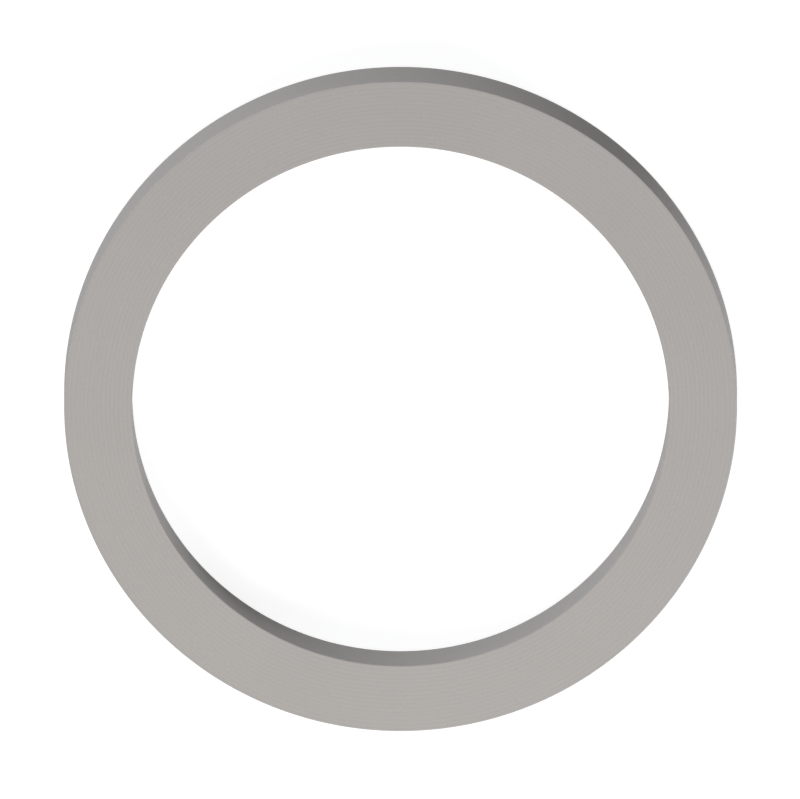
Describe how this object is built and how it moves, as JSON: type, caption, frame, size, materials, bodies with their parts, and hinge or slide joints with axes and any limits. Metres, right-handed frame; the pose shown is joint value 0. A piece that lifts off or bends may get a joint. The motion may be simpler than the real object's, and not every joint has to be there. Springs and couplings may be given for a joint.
{
  "type": "backup ring",
  "caption": "Flat uncut ring of near-square section that lies beside an O-ring in its groove and stops it being squeezed into the clearance gap.",
  "frame": {"origin": "centre of the ring's lower face, on the axis of the bore", "axes": "+Z along the bore axis, up from the lower face; X and Y are any two directions across the ring, which is round"},
  "size_m": [0.014, 0.014, 0.0012],
  "materials": {
    "ring": "satin, finely turned"
  },
  "bodies": {
    "root": {"backup_ring": "ring"}
  },
  "joints": []
}
